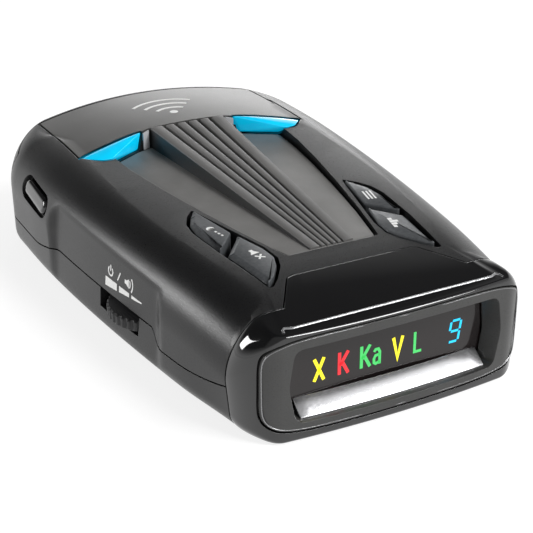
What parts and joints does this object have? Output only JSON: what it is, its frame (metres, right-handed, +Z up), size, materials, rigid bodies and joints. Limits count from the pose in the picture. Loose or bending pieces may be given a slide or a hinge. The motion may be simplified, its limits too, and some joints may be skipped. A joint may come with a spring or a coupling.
{
  "type": "radar detector",
  "caption": "Compact windscreen radar detector with a smoked display, a ribbed top panel, press keys, alert lenses, a side thumbwheel and a sprung bracket release.",
  "frame": {"origin": "bottom centre of the bounding box, on the flat underside", "axes": "+Z up through the top keys, +Y from the display towards the antenna end, +X to the right seen from the display"},
  "size_m": [0.0712, 0.11, 0.0263],
  "materials": {
    "case_black": "fine satin grain",
    "gloss_black": "polished",
    "satin_grey": "satin metallic paint",
    "key_grey": "brushed metallic paint",
    "smoked_window": "smoked, polished",
    "reflector": "vacuum metallised",
    "blue_lens": "clear blue",
    "red_lens": "deep red, polished",
    "dark_plastic": "moulded",
    "white_plastic": "moulded",
    "board": "solder resist",
    "steel": "plated",
    "cast_metal": "cast",
    "paper": "pressed pulp"
  },
  "bodies": {
    "case": {"top_cover": "case_black", "bottom_cover": "case_black", "rear_cover": "case_black", "front_hood": "gloss_black", "crown_panel": "satin_grey", "ribbed_panel": "satin_grey", "display_bezel": "satin_grey", "reflector_bar": "reflector", "display_window": "smoked_window", "display_module": "dark_plastic", "display_board": "board", "board_header": "dark_plastic", "alert_lens_left": "blue_lens", "alert_lens_right": "blue_lens", "alert_led_left": "white_plastic", "alert_led_right": "white_plastic", "volume_pot": "white_plastic", "latch_spring": "steel", "spring_post": "dark_plastic", "bracket_socket": "dark_plastic", "main_board": "board", "horn_antenna": "cast_metal", "mixer_board": "board", "shield_can": "steel", "processor_chip": "dark_plastic", "supply_capacitor": "steel", "laser_window": "red_lens", "laser_sensor": "dark_plastic", "speaker_frame": "steel", "speaker_cone": "paper", "speaker_magnet": "steel", "power_jack": "dark_plastic", "power_jack_pin": "steel", "case_screw_1": "steel", "case_screw_2": "steel", "case_screw_3": "steel", "case_screw_4": "steel", "rear_left_switch": "dark_plastic", "rear_right_switch": "dark_plastic", "front_left_switch": "dark_plastic", "front_right_switch": "dark_plastic"},
    "rear_left_key": {"rear_left_button": "key_grey", "rear_left_plunger": "white_plastic"},
    "rear_right_key": {"rear_right_button": "key_grey", "rear_right_plunger": "white_plastic"},
    "front_left_key": {"front_left_button": "key_grey", "front_left_plunger": "white_plastic"},
    "front_right_key": {"front_right_button": "key_grey", "front_right_plunger": "white_plastic"},
    "wheel": {"volume_wheel": "dark_plastic"},
    "latch": {"release_button": "gloss_black", "latch_slider": "white_plastic"}
  },
  "joints": [
    {"name": "rear_left_press", "type": "slide", "parent": "case", "child": "rear_left_key", "axis": [0, 0, -1], "range_m": [0, 0.0006], "stiffness_N_per_m": 800, "springref_m": -0.0004},
    {"name": "rear_right_press", "type": "slide", "parent": "case", "child": "rear_right_key", "axis": [0, 0, -1], "range_m": [0, 0.0006], "stiffness_N_per_m": 800, "springref_m": -0.0004},
    {"name": "front_left_press", "type": "slide", "parent": "case", "child": "front_left_key", "axis": [0, 0, -1], "range_m": [0, 0.0006], "stiffness_N_per_m": 800, "springref_m": -0.0004},
    {"name": "front_right_press", "type": "slide", "parent": "case", "child": "front_right_key", "axis": [0, 0, -1], "range_m": [0, 0.0006], "stiffness_N_per_m": 800, "springref_m": -0.0004},
    {"name": "volume_turn", "type": "hinge", "parent": "case", "child": "wheel", "pos_m": [-0.0246, -0.0112, 0.0066], "axis": [0, 0, 1], "range_deg": [0, 270]},
    {"name": "release_press", "type": "slide", "parent": "case", "child": "latch", "axis": [1, 0, 0], "range_m": [0, 0.0012], "stiffness_N_per_m": 500, "springref_m": -0.001, "deforming": ["latch_spring"]}
  ]
}
